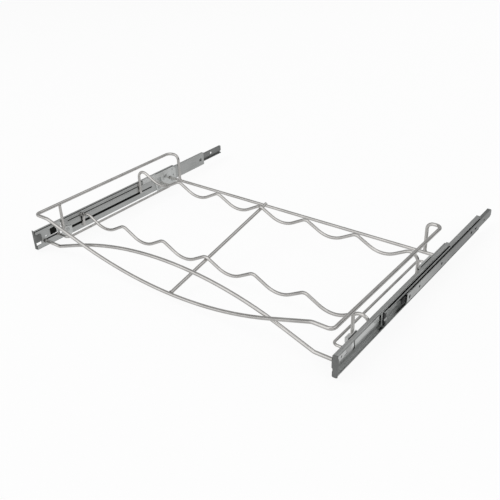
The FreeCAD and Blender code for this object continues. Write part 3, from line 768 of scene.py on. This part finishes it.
class WINERACK_OT_end_caps(bpy.types.Operator):
    """Fold the end plates from sheet, with bent corners and softened edges"""

    bl_idname = "winerack.end_caps"
    bl_label = "End Caps"

    sheet = 0.0012
    bend = 0.0024
    bend_steps = 6
    corner = 0.0016
    rim = 0.00018
    sharp = math.radians(60)
    # Gap that keeps the softened front inside the CAD box
    clear = 0.00004
    # Heights of the outer fold's foot, the inner tab's foot and head, and the fold's head
    steps = (0.0040, 0.0134, 0.0270, 0.0290)
    fold_length = 0.0045

    def execute(self, context):
        material = shaded_stamped_plate(context.scene.rack_sheet)
        for side in SIDES:
            name = "folded_cap_" + side
            mesh = bmesh.new()
            self.build(mesh, "end_plate_" + side, OUTWARD[side])
            piece = new_piece(name, finish_mesh(mesh, name), material, "rack")
            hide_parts("end_plate_" + side)
        return {"FINISHED"}

    def build(self, mesh, node, outward):
        low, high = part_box(node)
        levels = [low.z] + [low.z + step for step in self.steps] + [high.z]
        columns = self.columns(low, high)
        verts = [[mesh.verts.new((outward * x, y, z)) for z in levels] for x, y, rows in columns]
        for near, far, (x, y, rows) in zip(verts, verts[1:], columns):
            for row in rows:
                mesh.faces.new([near[row], far[row], far[row + 1], near[row + 1]])
        bmesh.ops.delete(mesh, geom=[vert for vert in mesh.verts if not vert.link_faces], context="VERTS")
        corners = [vert for vert in mesh.verts if len(vert.link_faces) == 1]
        bmesh.ops.bevel(mesh, geom=corners, offset=self.corner, segments=4, profile=0.5, affect="VERTICES")
        bmesh.ops.recalc_face_normals(mesh, faces=mesh.faces)
        foremost = min(mesh.faces, key=lambda face: face.calc_center_median().y)
        inward = self.sheet if foremost.normal.y < 0 else -self.sheet
        bmesh.ops.solidify(mesh, geom=mesh.faces[:], thickness=inward)
        rims = [edge for edge in mesh.edges if edge.calc_face_angle(0.0) > self.sharp]
        bmesh.ops.bevel(mesh, geom=rims, offset=self.rim, segments=2, profile=0.6, affect="EDGES")

    def columns(self, low, high):
        """Places from the inner tab round to the outer fold, each with the rows of faces after it."""
        tab, whole, fold = range(2, 3), range(5), range(1, 4)
        inner = min(abs(low.x), abs(high.x))
        outer = max(abs(low.x), abs(high.x))
        front = low.y + self.clear
        first = self.turn(inner + self.bend, front + self.bend, 180, 270, tab)
        second = self.turn(outer - self.bend, front + self.bend, 270, 360, whole)
        first[-1] = first[-1][:2] + (whole,)
        second[-1] = second[-1][:2] + (fold,)
        return [(inner, high.y, tab)] + first + second + [(outer, low.y + self.fold_length, fold)]

    def turn(self, x, y, start, end, rows):
        """Columns round one bend, from start to end degrees."""
        angles = spread(start, end, self.bend_steps)
        return [(x + self.bend * math.cos(angle), y + self.bend * math.sin(angle), rows) for angle in angles]


class WINERACK_OT_wire_collars(bpy.types.Operator):
    """Add the collars, near black as painted contact shadow, where the front arch wire goes into the slides
    """

    bl_idname = "winerack.wire_collars"
    bl_label = "Wire Collars"

    # The collar's section: how far it stands off the wire, and its place outward from the wire's end
    section = ((0.0, -0.0016), (0.0004, -0.0014), (0.0009, -0.0008), (0.0009, -0.0001), (0.0, 0.0))

    def execute(self, context):
        material = collar_painted_shadow()
        low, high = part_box("front_arch_wire")
        cross_low, cross_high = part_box("back_cross_wire")
        wire_r = (cross_high.z - cross_low.z) / 2
        profile = [(wire_r + rise, along) for rise, along in self.section]
        for side in SIDES:
            centre = (OUTWARD[side] * abs(high.x), low.y + wire_r, low.z + wire_r)
            mesh = bmesh.new()
            add_turned(mesh, centre, profile, OUTWARD[side])
            name = "arch_collar_" + side
            new_piece(name, finish_mesh(mesh, name), material, "rack")
        return {"FINISHED"}


class WINERACK_OT_studio(bpy.types.Operator):
    """Set the floor, the soft light and the camera"""

    bl_idname = "winerack.studio"
    bl_label = "Studio"

    # Grey cards seen only by reflections: degrees clockwise from the back, degrees up, and their tone
    cards = (
        ("back", (-75.0, 30.0), (8.0, 80.0), 0.42),
        ("left", (-125.0, -75.0), (0.0, 80.0), 0.32),
        ("left_horizon", (-75.0, 10.0), (0.0, 8.0), 0.14),
        ("right_low", (30.0, 110.0), (0.0, 22.0), 0.10),
        ("right_middle", (30.0, 110.0), (22.0, 36.0), 0.42),
        ("right_top", (30.0, 110.0), (60.0, 80.0), 0.42),
        ("front_right", (110.0, 170.0), (0.0, 60.0), 0.55),
    )
    card_reach = 8.0
    card_steps = 12
    # Soft lamps: place, width and share of the key light's power
    lamps = (
        ("key_light", (-1.4, -1.5, 2.4), 2.2, 1.0),
        ("fill_light", (2.2, -0.6, 1.6), 1.8, 0.45),
        ("back_light", (0.2, 2.4, 2.0), 2.0, 0.5),
    )
    lamp_target = (0.0, 0.0, 0.04)
    # Strength of the white surroundings as light, and as the camera and reflections see them
    world_light = 0.55
    world_seen = 1.0
    floor_reach = 30.0
    floor_drop = 0.0004
    floor_glow = 0.9
    # The camera's place and the directions of its picture
    camera_place = (0.63546, -0.85897, 0.57733)
    camera_right = (0.798884, 0.600626, -0.032148)
    camera_up = (-0.273273, 0.410051, 0.870161)
    camera_ahead = (-0.535823, 0.686372, -0.491718)

    def execute(self, context):
        settings = context.scene.rack_studio
        self.add_floor(settings)
        self.light_world(context.scene)
        for name, place, width, share in self.lamps:
            self.add_lamp(name, place, width, settings.key_power * share)
        for label, across, upward, tone in self.cards:
            self.add_card(label, across, upward, tone)
        self.add_camera(context.scene, settings)
        context.scene.view_settings.view_transform = "Standard"
        return {"FINISHED"}

    def light_path(self, finish, *names):
        """1 for rays of these kinds, 0 for others."""
        first = finish.node("ShaderNodeLightPath", {}, {}, names[0])
        outputs = first.socket.node.outputs
        return sum((Flow(finish, outputs[name]) for name in names[1:]), first)

    def add_floor(self, settings):
        """A wide pale floor: nearly white to the camera, grey to metal that mirrors it."""
        mesh = bmesh.new()
        bmesh.ops.create_grid(mesh, x_segments=1, y_segments=1, size=self.floor_reach)
        bmesh.ops.translate(mesh, verts=mesh.verts, vec=(0.0, 0.0, -self.floor_drop))
        data = bpy.data.meshes.new("studio_floor")
        mesh.to_mesh(data)
        mesh.free()
        floor = bpy.data.objects.new("studio_floor", data)
        bpy.context.scene.collection.objects.link(floor)
        finish = Finish("pale_floor", Roughness=0.9)
        finish.shader.inputs["Base Color"].default_value = rgba(settings.floor)
        finish.shader.inputs["Specular IOR Level"].default_value = 0.1
        glow = finish.node("ShaderNodeEmission", {}, {"Color": (1.0, 1.0, 1.0, 1.0), "Strength": 1.0})
        shade = Flow(finish, finish.shader.outputs["BSDF"])
        grey = rgba(settings.mirrored_floor)
        mirrored = finish.node("ShaderNodeEmission", {}, {"Color": grey, "Strength": 1.0})
        share = self.light_path(finish, "Is Camera Ray", "Is Transmission Ray") * self.floor_glow
        seen = finish.node("ShaderNodeMixShader", {}, {0: share, 1: shade, 2: glow})
        glossy = self.light_path(finish, "Is Glossy Ray")
        mixed = finish.node("ShaderNodeMixShader", {}, {0: glossy, 1: seen, 2: mirrored})
        output = finish.tree.nodes["Material Output"]
        finish.tree.links.new(mixed.socket, output.inputs["Surface"])
        data.materials.append(finish.material)

    def light_world(self, scene):
        """White surroundings, weaker as light than as seen."""
        world = bpy.data.worlds.new("studio_world")
        scene.world = world
        world.use_nodes = True
        tree = world.node_tree
        background = tree.nodes["Background"]
        background.inputs["Color"].default_value = (1.0, 1.0, 1.0, 1.0)
        path = tree.nodes.new("ShaderNodeLightPath")
        highest = tree.nodes.new("ShaderNodeMath")
        highest.operation = "MAXIMUM"
        tree.links.new(path.outputs["Is Camera Ray"], highest.inputs[0])
        tree.links.new(path.outputs["Is Glossy Ray"], highest.inputs[1])
        scaled = tree.nodes.new("ShaderNodeMapRange")
        tree.links.new(highest.outputs[0], scaled.inputs["Value"])
        scaled.inputs["To Min"].default_value = self.world_light
        scaled.inputs["To Max"].default_value = self.world_seen
        tree.links.new(scaled.outputs["Result"], background.inputs["Strength"])

    def add_lamp(self, name, place, width, power):
        """A round soft lamp that reflections don't see."""
        data = bpy.data.lights.new(name, "AREA")
        data.shape = "DISK"
        data.size = width
        data.energy = power
        lamp = bpy.data.objects.new(name, data)
        lamp.visible_glossy = False
        lamp.location = place
        lamp.rotation_mode = "QUATERNION"
        lamp.rotation_quaternion = (Vector(self.lamp_target) - Vector(place)).to_track_quat("-Z", "Y")
        bpy.context.scene.collection.objects.link(lamp)

    def add_card(self, label, across, upward, tone):
        """A curved card between two bearings and two heights, which only reflections see."""
        mesh = bmesh.new()
        rows = []
        turns = spread(*across, self.card_steps)
        for rise in spread(*upward, self.card_steps):
            flat = self.card_reach * math.cos(rise)
            height = self.card_reach * math.sin(rise)
            row = [(flat * math.sin(turn), flat * math.cos(turn), height) for turn in turns]
            rows.append([mesh.verts.new(corner) for corner in row])
        for lower, upper in zip(rows, rows[1:]):
            for step in range(self.card_steps):
                mesh.faces.new((lower[step], lower[step + 1], upper[step + 1], upper[step]))
        data = bpy.data.meshes.new("card_" + label)
        mesh.to_mesh(data)
        mesh.free()
        card = bpy.data.objects.new("card_" + label, data)
        finish = Finish(
            "card_" + label, Base_Color=(0.0, 0.0, 0.0, 1.0), Roughness=1.0, Specular_IOR_Level=0.0,
            Emission_Color=(tone, tone, tone, 1.0), Emission_Strength=1.0)
        data.materials.append(finish.material)
        card.visible_camera = False
        card.visible_diffuse = False
        card.visible_transmission = False
        card.visible_shadow = False
        bpy.context.scene.collection.objects.link(card)

    def add_camera(self, scene, settings):
        data = bpy.data.cameras.new("photo_camera")
        data.sensor_width = 36.0
        data.lens = settings.lens
        data.clip_start = 0.01
        data.clip_end = 100.0
        camera = bpy.data.objects.new("photo_camera", data)
        turn = Matrix((self.camera_right, self.camera_up, -Vector(self.camera_ahead))).transposed()
        camera.matrix_world = Matrix.Translation(self.camera_place) @ turn.to_4x4()
        scene.collection.objects.link(camera)
        scene.camera = camera


class WINERACK_PT_panel(bpy.types.Panel):
    """Buttons for the wine rack's pieces"""

    bl_label = "Wine Rack"
    bl_idname = "WINERACK_PT_panel"
    bl_space_type = "VIEW_3D"
    bl_region_type = "UI"
    bl_category = "Wine Rack"

    def draw(self, context):
        scene = context.scene
        for settings in (scene.rack_wire, scene.rack_sheet, scene.rack_plastic, scene.rack_studio):
            box = self.layout.box()
            for name in settings.__annotations__:
                box.prop(settings, name)
        for operator in OPERATORS:
            self.layout.operator(operator.bl_idname)


SETTINGS = (
    ("rack_wire", WireSettings), ("rack_sheet", SheetSettings),
    ("rack_plastic", PlasticSettings), ("rack_studio", StudioSettings),
)
OPERATORS = (
    WINERACK_OT_wire_finish, WINERACK_OT_slide_finish, WINERACK_OT_hardware_finish, WINERACK_OT_weld_beads,
    WINERACK_OT_release_levers, WINERACK_OT_stop_blocks, WINERACK_OT_end_caps, WINERACK_OT_wire_collars,
    WINERACK_OT_studio,
)


def register():
    for name, settings in SETTINGS:
        bpy.utils.register_class(settings)
        setattr(bpy.types.Scene, name, bpy.props.PointerProperty(type=settings))
    for operator in OPERATORS:
        bpy.utils.register_class(operator)
    bpy.utils.register_class(WINERACK_PT_panel)


def unregister():
    bpy.utils.unregister_class(WINERACK_PT_panel)
    for operator in reversed(OPERATORS):
        bpy.utils.unregister_class(operator)
    for name, settings in reversed(SETTINGS):
        delattr(bpy.types.Scene, name)
        bpy.utils.unregister_class(settings)


def main():
    register()
    bpy.ops.winerack.wire_finish()
    bpy.ops.winerack.slide_finish()
    bpy.ops.winerack.hardware_finish()
    bpy.ops.winerack.weld_beads()
    bpy.ops.winerack.release_levers()
    bpy.ops.winerack.stop_blocks()
    bpy.ops.winerack.end_caps()
    bpy.ops.winerack.wire_collars()
    bpy.ops.winerack.studio()


if __name__ == "__main__":
    main()
